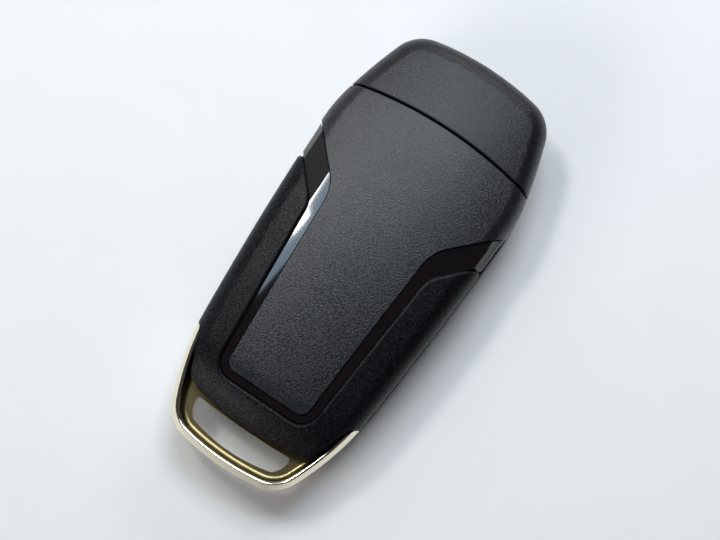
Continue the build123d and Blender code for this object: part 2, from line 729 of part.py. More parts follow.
def make_keyring_frame():
    """The plated loop: a bevelled rim, its arms, a floor with the ring slot and a clamped tab."""
    plan = key_outline() - grown(tongue_zone(), LOOP_GAP)
    floor_top = Z_SEAM + LOOP_FLOOR / 2
    frame = (bevelled_outline() - bowl()) & plate(plan, 0, Z_TOP)
    frame += plate(loop_floor_plan(), Z_SEAM - LOOP_FLOOR / 2, floor_top)
    frame += plate(ridge_plan() & plan, floor_top - LOOP_FLOOR / 2, floor_top + SLOT_BAR_HEIGHT)
    for side in (-1, 1):
        centre = (side * POST_SPACING / 2, Y_TONGUE + POST_FROM_TONGUE_END)
        frame -= post(centre, POST_R + PIN_CLEARANCE, 0, Z_TOP)
    return frame - plate(slot_face(), 0, Z_TOP)


def slot_face():
    """The slot for the key ring: wide at the top, rounded below."""
    low = Y_LOOP + SLOT_FROM_END
    tip = (LOOP_WIDTH / 2 - SLOT_SIDE, SLOT_TOP + SLOT_TOP_BOW)
    flank = (LOOP_WIDTH / 2 - SLOT_FLANK_SIDE, low + SLOT_FLANK_RISE)
    right = [bowed(flank, tip, SLOT_FLANK_BOW)]
    ends = [ThreePointArc((-tip[0], tip[1]), (0, SLOT_TOP), tip),
            ThreePointArc((-flank[0], flank[1]), (0, low), flank)]
    face = mirrored_face(right, ends)
    return round_at(face, tip, SLOT_TIP_R)


def board_plan(inset, right):
    """The room for the board from above, left of the blade's bay."""
    face = grown(tongue_zone(), -inset) & drawn_in(inset)
    low, high = BOARD_Y
    window = Pos((right - WIDE) / 2, (low + high) / 2) * Rectangle(right + WIDE, high - low)
    return face & window


def make_inner_tray():
    """The tray between board and cell: a floor, the wall of the blade's bay and the cell's ring."""
    plan = board_plan(COVER_WALL + SHELL_WALL + TRAY_FIT, BAY_X)
    top = BOARD_HIGH + TRAY_FLOOR
    tray = plate(plan, BOARD_HIGH, top)
    wall_low = MAT_LOW + MAT_THICKNESS + CARRIER_CLEARANCE
    tray += block((BAY_X - TRAY_WALL, BAY_X), BOARD_Y, (wall_low, top + CELL_RING_HEIGHT))
    inner = CELL_R + CELL_FIT
    collar = ring(CELL, inner + TRAY_WALL, inner, top - TRAY_FLOOR / 2, top + CELL_RING_HEIGHT)
    tray += collar & plate(plan, 0, Z_TOP)
    tray -= block((BAY_X - TRAY_WALL, BAY_X), (BOARD_Y[0] - MARGIN, BOARD_Y[0] + TRAY_NOTCH),
                  (0, BOARD_LOW))
    tray -= pad(CELL, NEGATIVE_SIZE, CONTACT_CORNER_R, BOARD_HIGH - MARGIN, top + MARGIN)
    for centre in SCREWS:
        tray -= post(centre, BOSS_R + TRAY_FIT, 0, Z_TOP)
    notch = CONTACT_WIDTH / 2 + TRAY_FIT
    end = CELL[1] + CELL_R
    return tray - block((CELL[0] - notch, CELL[0] + notch),
                        (end - MARGIN, end + CONTACT_RISE),
                        (0, Z_TOP))


def make_circuit_board():
    """The board under the tray."""
    plan = board_plan(COVER_WALL + SHELL_WALL + TRAY_FIT, BAY_X - TRAY_WALL - TRAY_FIT)
    board = plate(plan, BOARD_LOW, BOARD_HIGH)
    for centre in SCREWS:
        board -= post(centre, BOSS_R + TRAY_FIT, 0, Z_TOP)
    return board


def under_board(centre, size, height):
    """A part soldered to the front side of the board."""
    part = Pos(centre[0], centre[1], BOARD_LOW - height / 2) * Box(size[0], size[1], height)
    return chamfer(part.edges().group_by(Axis.Z)[0], min(height, size[1]) * 0.15)


def make_tact_switches():
    """One switch behind each remote button."""
    switches = []
    for centre in BUTTONS.values():
        spot = (SWITCH_X, centre[1])
        switch = under_board(spot, (SWITCH_SIZE, SWITCH_SIZE), SWITCH_BODY)
        low = BOARD_LOW - SWITCH_BODY
        switches.append(switch + post(spot, SWITCH_PLUNGER_R, low - SWITCH_PLUNGER, low))
    return Compound(children=switches)


def make_board_components():
    """The small resistors and capacitors."""
    x, y = PASSIVE_START
    parts = []
    for row in range(PASSIVE_ROWS):
        for column in range(PASSIVE_COLUMNS):
            centre = (x + column * PASSIVE_PITCH, y - row * PASSIVE_PITCH)
            parts.append(under_board(centre, PASSIVE_SIZE, PASSIVE_HEIGHT))
    return Compound(children=parts)


def make_antenna_coil():
    """A low coil on a square core with a thinner waist for its winding."""
    x, y = COIL_CENTRE
    coil = under_board(COIL_CENTRE, COIL_SIZE, COIL_HEIGHT)
    waist = COIL_SIZE[1] / 2 - COIL_CORE / 2
    for side in (-1, 1):
        edge = y + side * (COIL_CORE / 2 + waist / 2)
        level = BOARD_LOW - COIL_HEIGHT / 2 - COIL_TOP
        coil -= Pos(x, edge, level) * Box(COIL_CORE, waist * 0.7, COIL_HEIGHT)
    return coil


def make_transponder_chip():
    """The transponder wedge with its sloped end."""
    x, y = TRANSPONDER
    low = FRONT_WALL
    wedge = block((x - TRANSPONDER_SIZE[0] / 2, x + TRANSPONDER_SIZE[0] / 2),
                  (y - TRANSPONDER_SIZE[1] / 2, y + TRANSPONDER_SIZE[1] / 2),
                  (low, low + TRANSPONDER_HEIGHT))
    end = wedge.edges().group_by(Axis.Y)[-1].sort_by(Axis.Z)[-1]
    return chamfer(end, TRANSPONDER_HEIGHT * 0.4)


def make_coin_cell():
    """The cell, its stepped side towards the board."""
    low = BOARD_HIGH + TRAY_FLOOR
    cell = post(CELL, CELL_R, low + CELL_STEP, low + CELL_HEIGHT)
    cell = chamfer(cell.edges().filter_by(GeomType.CIRCLE).sort_by(Axis.Z)[-1], CELL_STEP / 2)
    return cell + post(CELL, CELL_R - 2 * CELL_STEP, low, low + CELL_STEP)


def make_negative_contact():
    """The sheet under the cell, with its foot on the board."""
    top = BOARD_HIGH + TRAY_FLOOR
    size = (NEGATIVE_SIZE[0] - 2 * TRAY_FIT, NEGATIVE_SIZE[1] - 2 * TRAY_FIT)
    corner = CONTACT_CORNER_R - TRAY_FIT
    sheet = pad(CELL, size, corner, top - CONTACT_SHEET, top)
    foot = (CELL[0], CELL[1] - size[1] / 2 + CONTACT_FOOT / 2)
    foot_size = (size[0] - CONTACT_CORNER_R, CONTACT_FOOT)
    return sheet + pad(foot, foot_size, corner / 2, BOARD_HIGH, top)


def make_positive_contact():
    """The strip that rises beside the cell and hooks over its rim."""
    half = CONTACT_WIDTH / 2
    near = CELL[1] + CELL_R + CELL_FIT / 2
    far = near + CONTACT_SHEET
    top = BOARD_HIGH + TRAY_FLOOR + CELL_HEIGHT
    x = (CELL[0] - half, CELL[0] + half)
    strip = block(x, (near, far), (BOARD_HIGH, top + CONTACT_SHEET))
    strip += block(x, (near - CONTACT_HOOK, far), (top, top + CONTACT_SHEET))
    return strip + block(x, (near, far + CONTACT_HOOK / 2), (BOARD_HIGH, BOARD_HIGH + CONTACT_SHEET))


def make_button_mat():
    """The rubber mat behind the buttons, with a nub before each switch."""
    mat = pad((0, BUTTON_ROW_Y), MAT_SIZE, BEZEL_CORNER_R, MAT_LOW, MAT_LOW + MAT_THICKNESS)
    for centre in BUTTONS.values():
        spot = (SWITCH_X, centre[1])
        mat += post(spot, NUB_R, MAT_LOW + MAT_THICKNESS, MAT_LOW + MAT_THICKNESS + NUB_HEIGHT)
    return mat


def button_pad(centre, margin, low, high):
    """A remote button's rounded outline, wider by the margin."""
    size = (BUTTON_WIDTH + 2 * margin, BUTTON_HEIGHT + 2 * margin)
    return pad(centre, size, BUTTON_CORNER_R + margin, low, high)


def bezel_plate(margin, low, high):
    """The outline of the button bezel as a plate."""
    width = BUTTON_WIDTH + 2 * BEZEL_MARGIN
    height = 2 * BUTTON_PITCH + BUTTON_HEIGHT + 2 * BEZEL_MARGIN
    return pad((0, BUTTON_ROW_Y), (width - 2 * margin, height - 2 * margin), BEZEL_CORNER_R,
               low, high)


def make_button_bezel():
    """The gloss bezel round the three remote buttons."""
    bezel = bezel_plate(TRIM_GAP, BEZEL_RECESS, BEZEL_RECESS + BEZEL_THICKNESS)
    for centre in BUTTONS.values():
        bezel -= button_pad(centre, BUTTON_GAP, -MARGIN, FRONT_WALL)
    return bezel


def make_button(centre):
    """A dished remote button with the flange that keeps it in the case."""
    flange = FRONT_WALL + END_PLAY / 2
    button = button_pad(centre, 0, BUTTON_RECESS, flange)
    button += button_pad(centre, BUTTON_FLANGE, flange, flange + BUTTON_LIP)
    dish = Pos(centre[0], centre[1], BUTTON_RECESS + BUTTON_DISH - BUTTON_DISH_R)
    return button - dish * Sphere(BUTTON_DISH_R)


def make_release_button():
    """The round release button with its plunger in the carrier's hub."""
    cap = post(PIVOT, RELEASE_R, BUTTON_RECESS, BUTTON_RECESS + RELEASE_CAP)
    cap = fillet(cap.edges().filter_by(GeomType.CIRCLE).sort_by(Axis.Z)[0], RELEASE_CAP / 5)
    top = BUTTON_RECESS + RELEASE_CAP
    button = cap + post(PIVOT, PLUNGER_R, top, top + PLUNGER_LENGTH)
    dish = Pos(PIVOT[0], PIVOT[1], BUTTON_RECESS + BUTTON_DISH / 2 - BUTTON_DISH_R / 2)
    return button - dish * Sphere(BUTTON_DISH_R / 2)


def make_release_ring():
    """The plated ring round the release button."""
    inner = RELEASE_R + BUTTON_GAP
    return ring(PIVOT, inner + RELEASE_RING_WIDTH - TRIM_GAP, inner, BEZEL_RECESS,
                BEZEL_RECESS + RELEASE_RING_DEPTH)


def make_flip_spring():
    """The coil spring in the hub, which turns the carrier and returns the button."""
    radius = HUB_BORE_R - SPRING_CLEARANCE - SPRING_WIRE / 2
    low = BUTTON_RECESS + RELEASE_CAP + PLUNGER_LENGTH + END_PLAY + SPRING_WIRE / 2
    high = HUB_TOP - HUB_WEB - END_PLAY - SPRING_WIRE / 2
    coil = Helix((high - low) / SPRING_TURNS, high - low, radius)
    section = RegularPolygon(SPRING_WIRE / 2, SPRING_SIDES)
    wire = Plane(origin=coil @ 0, z_dir=coil % 0) * section
    return Pos(PIVOT[0], PIVOT[1], low) * sweep(wire, Wire([coil]), is_frenet=True)


def make_blade_carrier():
    """The carrier: a disc and arm that hold the blade, and a hollow hub on the pivot."""
    carrier = post(PIVOT, DISC_R, CARRIER_LOW, CARRIER_HIGH)
    arm_x = (BLADE_X - ARM_WIDTH / 2, BLADE_X + ARM_WIDTH / 2)
    arm = block(arm_x, (ARM_END, PIVOT[1]), (CARRIER_LOW, CARRIER_HIGH))
    carrier += fillet(arm.edges().filter_by(Axis.Z).group_by(Axis.X)[-1], ARM_CORNER_R)
    hub_low = RELEASE_ROOM + CARRIER_CLEARANCE / 4
    carrier += post(PIVOT, HUB_R, hub_low, HUB_TOP)
    carrier -= post(PIVOT, HUB_BORE_R, 0, HUB_TOP - HUB_WEB)
    half = BLADE_WIDTH / 2
    carrier -= block((BLADE_X - half, BLADE_X + half), (ARM_END - MARGIN, BLADE_ROOT),
                     (Z_SEAM - BLADE_THICKNESS / 2, Z_SEAM + BLADE_THICKNESS / 2))
    return carrier - post(BLADE_PIN, PIN_R + PIN_CLEARANCE, 0, Z_TOP)


def make_key_blade():
    """The folded blade: a flat bar with a milled track on each face and a bevelled tip."""
    half = BLADE_WIDTH / 2
    tip = PIVOT[1] - BLADE_REACH
    low, high = Z_SEAM - BLADE_THICKNESS / 2, Z_SEAM + BLADE_THICKNESS / 2
    blade = block((BLADE_X - half, BLADE_X + half), (tip, BLADE_ROOT), (low, high))
    blade = chamfer(blade.edges().filter_by(Axis.Z).group_by(Axis.Y)[0], BLADE_TIP)
    track = milled_track(tip)
    blade -= plate(track, low - MARGIN, low + TRACK_DEPTH)
    blade -= plate(track, high - TRACK_DEPTH, high + MARGIN)
    return blade - post(BLADE_PIN, PIN_R + PIN_CLEARANCE, 0, Z_TOP)


def milled_track(tip):
    """The winding track from above: bends to and fro at an even pitch, out at the tip."""
    points = [(BLADE_X, tip - MARGIN), (BLADE_X, tip + BLADE_TIP + TRACK_WIDTH)]
    side = 1
    while points[-1][1] + TRACK_PITCH < ARM_END - TRACK_PITCH / 2:
        points.append((BLADE_X + side * TRACK_SWING, points[-1][1] + TRACK_PITCH))
        side = -side
    line = FilletPolyline(*points, radius=TRACK_PITCH / 2)
    return trace(line, TRACK_WIDTH)


def make_blade_pin():
    """The pin that fixes the blade in the carrier."""
    return post(BLADE_PIN, PIN_R, CARRIER_LOW, CARRIER_HIGH)


def screw_seat(centre):
    """The level that a screw's head sits on, under the back panel."""
    crown = centre[0] ** 2 / 2 / CROWN_R + (centre[1] - CROWN_APEX) ** 2 / 2 / LENGTH_R
    return Z_TOP - COVER_WALL - crown - SCREW_HEAD - SCREW_SINK


def make_case_screws():
    """The two screws that hold the halves together, under the back panel."""
    screws = []
    for centre in SCREWS:
        seat = screw_seat(centre)
        screw = post(centre, SCREW_R, seat - SCREW_LENGTH, seat)
        head = post(centre, SCREW_HEAD_R, seat, seat + SCREW_HEAD)
        cross = Pos(centre[0], centre[1], seat + SCREW_HEAD)
        slot = cross * Box(SCREW_HEAD_R * 1.2, SCREW_R * 0.4, SCREW_HEAD)
        screws.append(screw + head - slot - cross * Box(SCREW_R * 0.4, SCREW_HEAD_R * 1.2,
                                                        SCREW_HEAD))
    return Compound(children=screws)


def make_parts():
    """Every piece of the key by the name of its node."""
    parts = {
        "rear_shell": make_rear_shell(),
        "rear_panel": make_rear_panel(),
        "gloss_trim": make_gloss_trim(),
        "head_cap": make_head_cap(),
        "front_shell": make_front_shell(),
        "button_bezel": make_button_bezel(),
        "release_ring": make_release_ring(),
        "keyring_frame": make_keyring_frame(),
        "inner_tray": make_inner_tray(),
        "circuit_board": make_circuit_board(),
        "microcontroller": under_board(CHIP_CENTRE, (CHIP_SIZE, CHIP_SIZE), CHIP_HEIGHT),
        "crystal": under_board(CRYSTAL_CENTRE, CRYSTAL_SIZE, CRYSTAL_HEIGHT),
        "board_components": make_board_components(),
        "antenna_coil": make_antenna_coil(),
        "tact_switches": make_tact_switches(),
        "transponder_chip": make_transponder_chip(),
        "coin_cell": make_coin_cell(),
        "battery_contact_negative": make_negative_contact(),
        "battery_contact_positive": make_positive_contact(),
        "button_mat": make_button_mat(),
        "release_button": make_release_button(),
        "flip_spring": make_flip_spring(),
        "blade_carrier": make_blade_carrier(),
        "key_blade": make_key_blade(),
        "blade_pin": make_blade_pin(),
        "case_screws": make_case_screws(),
    }
    for name, centre in BUTTONS.items():
        parts[name] = make_button(centre)
    return parts


os.makedirs("parts", exist_ok=True)
for name, part in make_parts().items():
    export_step(part, os.path.join("parts", name + ".step"))
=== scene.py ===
import json
from math import asin, atan2, cos, degrees, radians, sin

import bpy
from mathutils import Matrix, Quaternion, Vector
from mathutils.bvhtree import BVHTree

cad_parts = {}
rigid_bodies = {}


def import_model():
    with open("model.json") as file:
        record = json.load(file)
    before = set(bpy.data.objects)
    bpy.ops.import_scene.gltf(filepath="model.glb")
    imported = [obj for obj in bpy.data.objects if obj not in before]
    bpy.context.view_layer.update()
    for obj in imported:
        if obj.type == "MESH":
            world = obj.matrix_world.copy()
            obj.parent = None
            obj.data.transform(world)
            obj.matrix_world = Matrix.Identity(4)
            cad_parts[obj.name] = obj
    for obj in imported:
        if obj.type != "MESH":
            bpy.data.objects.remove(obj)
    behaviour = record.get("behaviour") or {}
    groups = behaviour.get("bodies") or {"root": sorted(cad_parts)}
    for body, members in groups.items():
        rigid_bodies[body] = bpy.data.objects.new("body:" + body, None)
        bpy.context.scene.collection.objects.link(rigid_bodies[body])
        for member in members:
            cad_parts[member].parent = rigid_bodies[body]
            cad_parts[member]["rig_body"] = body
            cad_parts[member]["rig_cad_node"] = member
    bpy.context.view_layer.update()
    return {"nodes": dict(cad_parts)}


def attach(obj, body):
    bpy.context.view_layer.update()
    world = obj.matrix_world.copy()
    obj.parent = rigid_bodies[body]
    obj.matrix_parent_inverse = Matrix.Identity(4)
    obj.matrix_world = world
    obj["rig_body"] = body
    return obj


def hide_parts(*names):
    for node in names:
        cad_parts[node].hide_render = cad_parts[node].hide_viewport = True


# Flip remote key, seen from its back. Metres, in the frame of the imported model.
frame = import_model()
nodes = frame["nodes"]
MM = 0.001

# Lengths from here to the shader helpers are in millimetres.

# The crown of the back: its two arcs, the tail's arc, how near a face must be to it, and the
# share of the sideways arc's radius that is followed
CROWN_R = 72.5
LENGTH_R = 400.0
CROWN_Y = 5.2
CROWN_TOP = 16.0
TAIL_R = 15.0
TAIL_START = radians(4.09)
TAIL_END = radians(39.09)
CROWN_MATCH = radians(2.0)
SIDE_LIMIT = 0.9

# The trim's folds: how far from the middle, above which height, and the least run of an edge
FOLD_SIDE = 11.5
FOLD_FLOOR = 13.0
FOLD_RUN = 0.05

# The loop's levels: its middle, and how far its floor, walls and edges lie from that
SEAM_LEVEL = 7.0
FLOOR_LEVEL = 2.1
WALL_LEVEL = 2.8
RIM_LEVEL = 3.85

# The rim of the loop's slot: its height off the seam, its half width, its low and high y
SLOT_RISE = 1.6
SLOT_SIDE = 9.2
SLOT_LOW = -37.2
SLOT_HIGH = -32.3

# Roundings: their width and how many segments they have, and a square edge's angle in degrees
FOLD_ROUNDING = (0.12, 3)
RIM_ROUNDING = (0.25, 4)
WALL_ROUNDING = (0.5, 4)
SQUARE_ANGLE = 80

# The groove between trim and panel, how near to the panel a place is drawn back, and how far
# up the face of a slope looks at least
GROOVE = 0.13
GROOVE_REACH = 0.1
SLOPE_FACING = 0.7

# How near two places must be to count as one, the weld, and the angle of a flat joint
NEAR = 0.02
WELD = 0.002
FLAT_JOINT = radians(0.05)

# The printed symbols: their scale, their line's width, how much of its thickness it keeps,
# up to which angle it is shaded smooth, the level from which a button's face is looked for,
# and the steps of an arc and of a corner
SYMBOL_SCALE = 1.2
STROKE = 0.26
PRINT_RISE = 0.2
PRINT_ANGLE = radians(50)
BELOW_TABLE = -1.0
ARC_STEPS = 10
CORNER_STEPS = 4


# Shader helpers

NODE_STEP = 200
SHADER_PLACE = (NODE_STEP * 16, 0)
OUTPUT_PLACE = (NODE_STEP * 18, 0)


def add_node(tree, kind, **settings):
    """A node of the given kind, to the right of those before it, with its properties set."""
    node = tree.nodes.new(kind)
    node.location = (NODE_STEP * len(tree.nodes), 0)
    for name, value in settings.items():
        setattr(node, name, value)
    return node


def new_group(name, inputs, outputs):
    """A shader group with named number, colour or vector sockets."""
    tree = bpy.data.node_groups.new(name, "ShaderNodeTree")
    for label, kind, value in inputs:
        socket = tree.interface.new_socket(label, in_out="INPUT", socket_type=kind)
        socket.default_value = value
    for label, kind in outputs:
        tree.interface.new_socket(label, in_out="OUTPUT", socket_type=kind)
    entry = add_node(tree, "NodeGroupInput")
    leave = add_node(tree, "NodeGroupOutput", location=OUTPUT_PLACE)
    return tree, entry, leave


def calculated(tree, operation, first, second=None):
    """The result of a Math node on a socket and on a second socket or a number."""
    node = add_node(tree, "ShaderNodeMath", operation=operation)
    tree.links.new(first, node.inputs[0])
    if isinstance(second, (int, float)):
        node.inputs[1].default_value = second
    elif second is not None:
        tree.links.new(second, node.inputs[1])
    return node.outputs[0]


def remapped(tree, value, low, high, to=(0.0, 1.0)):
    """A socket with its range from low to high mapped to another range."""
    node = add_node(tree, "ShaderNodeMapRange")
    node.inputs["From Min"].default_value = low
    node.inputs["From Max"].default_value = high
    node.inputs["To Min"].default_value = to[0]
    node.inputs["To Max"].default_value = to[1]
    tree.links.new(value, node.inputs["Value"])
    return node.outputs["Result"]


def noise(tree, vector, scale, detail, roughness=0.5):
    """A noise texture on the given coordinates."""
    node = add_node(tree, "ShaderNodeTexNoise")
    node.inputs["Scale"].default_value = scale
    node.inputs["Detail"].default_value = detail
    node.inputs["Roughness"].default_value = roughness
    tree.links.new(vector, node.inputs["Vector"])
    return node


def axis_part(tree, vector, axis):
    """One part of a vector, by the name of its axis."""
    parts = add_node(tree, "ShaderNodeSeparateXYZ")
    tree.links.new(vector, parts.inputs["Vector"])
    return parts.outputs[axis]


# Shared effects

def make_leather_grain():
    """Moulded leather grain: warped pebbles with soft valleys between them."""
    tree, entry, leave = new_group(
        "Leather Grain",
        [("Vector", "NodeSocketVector", (0, 0, 0)), ("Scale", "NodeSocketFloat", 2200.0),
         ("Warp", "NodeSocketFloat", 0.0004)],
        [("Height", "NodeSocketFloat"), ("Valleys", "NodeSocketFloat")])
    warp = noise(tree, entry.outputs["Vector"], scale=1500, detail=2)
    shift = add_node(tree, "ShaderNodeVectorMath", operation="SUBTRACT")
    shift.inputs[1].default_value = (0.5, 0.5, 0.5)
    tree.links.new(warp.outputs["Color"], shift.inputs[0])
    push = add_node(tree, "ShaderNodeVectorMath", operation="SCALE")
    tree.links.new(shift.outputs["Vector"], push.inputs[0])
    tree.links.new(entry.outputs["Warp"], push.inputs["Scale"])
    moved = add_node(tree, "ShaderNodeVectorMath", operation="ADD")
    tree.links.new(entry.outputs["Vector"], moved.inputs[0])
    tree.links.new(push.outputs["Vector"], moved.inputs[1])
    cells = add_node(tree, "ShaderNodeTexVoronoi", feature="SMOOTH_F1")
    cells.inputs["Smoothness"].default_value = 0.35
    tree.links.new(moved.outputs["Vector"], cells.inputs["Vector"])
    tree.links.new(entry.outputs["Scale"], cells.inputs["Scale"])
    ripple = noise(tree, moved.outputs["Vector"], scale=3800, detail=3, roughness=0.6)
    dome = remapped(tree, cells.outputs["Distance"], 0.05, 0.62, to=(1.0, 0.0))
    fine = calculated(tree, "MULTIPLY", ripple.outputs["Fac"], 0.45)
    height = calculated(tree, "ADD", dome, fine)
    valleys = remapped(tree, height, 0.25, 0.75, to=(1.0, 0.0))
    tree.links.new(height, leave.inputs["Height"])
    tree.links.new(valleys, leave.inputs["Valleys"])
    return tree


def make_fine_grain():
    """Fine spark-eroded grain, as on the sides of a moulded case."""
    tree, entry, leave = new_group(
        "Fine Grain",
        [("Vector", "NodeSocketVector", (0, 0, 0)), ("Scale", "NodeSocketFloat", 5000.0)],
        [("Height", "NodeSocketFloat"), ("Specks", "NodeSocketFloat")])
    coarse = noise(tree, entry.outputs["Vector"], scale=1.0, detail=3, roughness=0.65)
    tree.links.new(entry.outputs["Scale"], coarse.inputs["Scale"])
    tree.links.new(coarse.outputs["Fac"], leave.inputs["Height"])
    specks = remapped(tree, coarse.outputs["Fac"], 0.56, 0.74)
    tree.links.new(specks, leave.inputs["Specks"])
    return tree


def make_handling():
    """Faint smears and dust from handling, as masks."""
    tree, entry, leave = new_group(
        "Handling",
        [("Vector", "NodeSocketVector", (0, 0, 0))],
        [("Smears", "NodeSocketFloat"), ("Dust", "NodeSocketFloat")])
    broad = noise(tree, entry.outputs["Vector"], scale=90, detail=4, roughness=0.55)
    smears = remapped(tree, broad.outputs["Fac"], 0.35, 0.7)
    tree.links.new(smears, leave.inputs["Smears"])
    specks = noise(tree, entry.outputs["Vector"], scale=2600, detail=1)
    dust = remapped(tree, specks.outputs["Fac"], 0.74, 0.8)
    tree.links.new(dust, leave.inputs["Dust"])
    return tree


def make_brushed():
    """Fine lines along one axis, as on milled or brushed metal."""
    tree, entry, leave = new_group(
        "Brushed Lines",
        [("Vector", "NodeSocketVector", (0, 0, 0)),
         ("Stretch", "NodeSocketVector", (900, 9000, 9000))],
        [("Height", "NodeSocketFloat"), ("Lines", "NodeSocketFloat")])
    stretched = add_node(tree, "ShaderNodeVectorMath", operation="MULTIPLY")
    tree.links.new(entry.outputs["Vector"], stretched.inputs[0])
    tree.links.new(entry.outputs["Stretch"], stretched.inputs[1])
    scratches = noise(tree, stretched.outputs["Vector"], scale=1.0, detail=3, roughness=0.6)
    tree.links.new(scratches.outputs["Fac"], leave.inputs["Height"])
    lines = remapped(tree, scratches.outputs["Fac"], 0.35, 0.7)
    tree.links.new(lines, leave.inputs["Lines"])
    return tree


LEATHER = make_leather_grain()
FINE = make_fine_grain()
HANDLING = make_handling()
BRUSHED = make_brushed()

# How much of the shader's specular level one full coat stands for
COAT_LEVEL = 0.5

# The trim's gloss: the specular level under its coat, the coat itself, and how far up a face
# looks from where the coat starts to where it is full
UNDERCOAT_LEVEL = 0.1
GLOSS_COAT_IOR = 1.72
GLOSS_COAT_ROUGHNESS = 0.06
COATED_FACING = (0.4, 0.64)

# How far up or down a face of the loop looks, from none of the floor's satin and painted shade to
# all of it
FLOOR_FACING = (0.35, 0.75)


class Finish:
    """A material under construction: its tree, its shader and its coordinates."""

    def __init__(self, name, roughness, metallic=0.0):
        self.material = bpy.data.materials.new(name)
        self.material.use_nodes = True
        self.tree = self.material.node_tree
        self.tree.nodes.clear()
        self.shader = add_node(self.tree, "ShaderNodeBsdfPrincipled", location=SHADER_PLACE)
        output = add_node(self.tree, "ShaderNodeOutputMaterial", location=OUTPUT_PLACE)
        self.tree.links.new(self.shader.outputs["BSDF"], output.inputs["Surface"])
        coordinates = add_node(self.tree, "ShaderNodeTexCoord")
        self.place = coordinates.outputs["Object"]
        self.facing = coordinates.outputs["Normal"]
        self.shader.inputs["Roughness"].default_value = roughness
        self.shader.inputs["Metallic"].default_value = metallic

    def group(self, tree, **values):
        """An effect group on object coordinates, with its values set."""
        node = add_node(self.tree, "ShaderNodeGroup", node_tree=tree)
        self.tree.links.new(self.place, node.inputs["Vector"])
        for name, value in values.items():
            node.inputs[name].default_value = value
        return node

    def colour(self, mask, first, second):
        """Mixes two colours by a mask into the base colour, and returns the result."""
        mix = add_node(self.tree, "ShaderNodeMix", data_type="RGBA")
        mix.inputs["A"].default_value = (*first, 1)
        mix.inputs["B"].default_value = (*second, 1)
        self.tree.links.new(mask, mix.inputs["Factor"])
        self.tree.links.new(mix.outputs["Result"], self.shader.inputs["Base Color"])
        return mix.outputs["Result"]

    def tint(self, base, mask, colour):
        """Lays a colour over the base colour where a mask is set."""
        mix = add_node(self.tree, "ShaderNodeMix", data_type="RGBA")
        mix.inputs["B"].default_value = (*colour, 1)
        self.tree.links.new(base, mix.inputs["A"])
        self.tree.links.new(mask, mix.inputs["Factor"])
        self.tree.links.new(mix.outputs["Result"], self.shader.inputs["Base Color"])

    def gloss(self, mask, low, high):
        """Varies the roughness by a mask."""
        self.tree.links.new(remapped(self.tree, mask, 0, 1, to=(low, high)),
                            self.shader.inputs["Roughness"])

    def shine(self, mask, clear, masked, roughness):
        """Sets the strength of the reflection where a mask is clear and where it is set."""
        least = min(clear, masked)
        coats = ((clear - least) / COAT_LEVEL, (masked - least) / COAT_LEVEL)
        self.shader.inputs["Specular IOR Level"].default_value = least
        self.shader.inputs["Coat Roughness"].default_value = roughness
        self.tree.links.new(remapped(self.tree, mask, 0, 1, to=coats),
                            self.shader.inputs["Coat Weight"])

    def relief(self, height, depth, strength=1.0):
        """Raises the surface by a height, in millimetres at its full."""
        bump = add_node(self.tree, "ShaderNodeBump")
        bump.inputs["Strength"].default_value = strength
        bump.inputs["Distance"].default_value = depth * MM
        self.tree.links.new(height, bump.inputs["Height"])
        self.tree.links.new(bump.outputs["Normal"], self.shader.inputs["Normal"])

    def level_part(self, facing):
        """A mask of level surfaces, from the first to the second of two upright facings."""
        upright = calculated(self.tree, "ABSOLUTE", axis_part(self.tree, self.facing, "Z"))
        return remapped(self.tree, upright, *facing)


# Kinds of finish

def grained_plastic(name, dark, light, scale, depth, roughness, shine):
    """Black plastic with a leather grain and painted shade in its valleys, which take the darker
    colour; its shine is that of the pebbles and the valleys.
    """
    finish = Finish(name, roughness)
    grain = finish.group(LEATHER, Scale=scale)
    fine = finish.group(FINE, Scale=5200.0)
    marks = finish.group(HANDLING)
    # Painted shade: the grain's valleys take the darker colour, the pebbles the lighter one.
    base = finish.colour(grain.outputs["Valleys"], light, dark)
    dust = calculated(finish.tree, "MULTIPLY", marks.outputs["Dust"], 0.25)
    finish.tint(base, dust, (0.25, 0.25, 0.26))
    finish.gloss(marks.outputs["Smears"], roughness - 0.03, roughness + 0.05)
    finish.shine(grain.outputs["Valleys"], *shine, roughness)
    ripples = calculated(finish.tree, "MULTIPLY", fine.outputs["Height"], 0.35)
    finish.relief(calculated(finish.tree, "ADD", grain.outputs["Height"], ripples), depth)
    return finish.material


def fine_plastic(name, dark, light, scale, depth, roughness):
    """Plastic or the like with a fine even grain and lighter specks."""
    finish = Finish(name, roughness)
    fine = finish.group(FINE, Scale=scale)
    marks = finish.group(HANDLING)
    base = finish.colour(fine.outputs["Specks"], dark, light)
    dust = calculated(finish.tree, "MULTIPLY", marks.outputs["Dust"], 0.2)
    finish.tint(base, dust, (0.22, 0.22, 0.23))
    finish.gloss(marks.outputs["Smears"], roughness - 0.04, roughness + 0.05)
    finish.relief(fine.outputs["Height"], depth)
    return finish.material


def gloss_plastic(name, colour, smeared, roughness=0.06):
    """Polished black plastic with faint smears, clear-coated where it faces up."""
    finish = Finish(name, roughness)
    marks = finish.group(HANDLING)
    finish.colour(marks.outputs["Smears"], colour, smeared)
    finish.gloss(marks.outputs["Smears"], roughness, roughness + 0.07)
    finish.shader.inputs["Specular IOR Level"].default_value = UNDERCOAT_LEVEL
    finish.shader.inputs["Coat IOR"].default_value = GLOSS_COAT_IOR
    finish.shader.inputs["Coat Roughness"].default_value = GLOSS_COAT_ROUGHNESS
    finish.tree.links.new(finish.level_part(COATED_FACING), finish.shader.inputs["Coat Weight"])
    waves = noise(finish.tree, finish.place, scale=160, detail=2)
    finish.relief(waves.outputs["Fac"], 0.02, strength=0.35)
    return finish.material


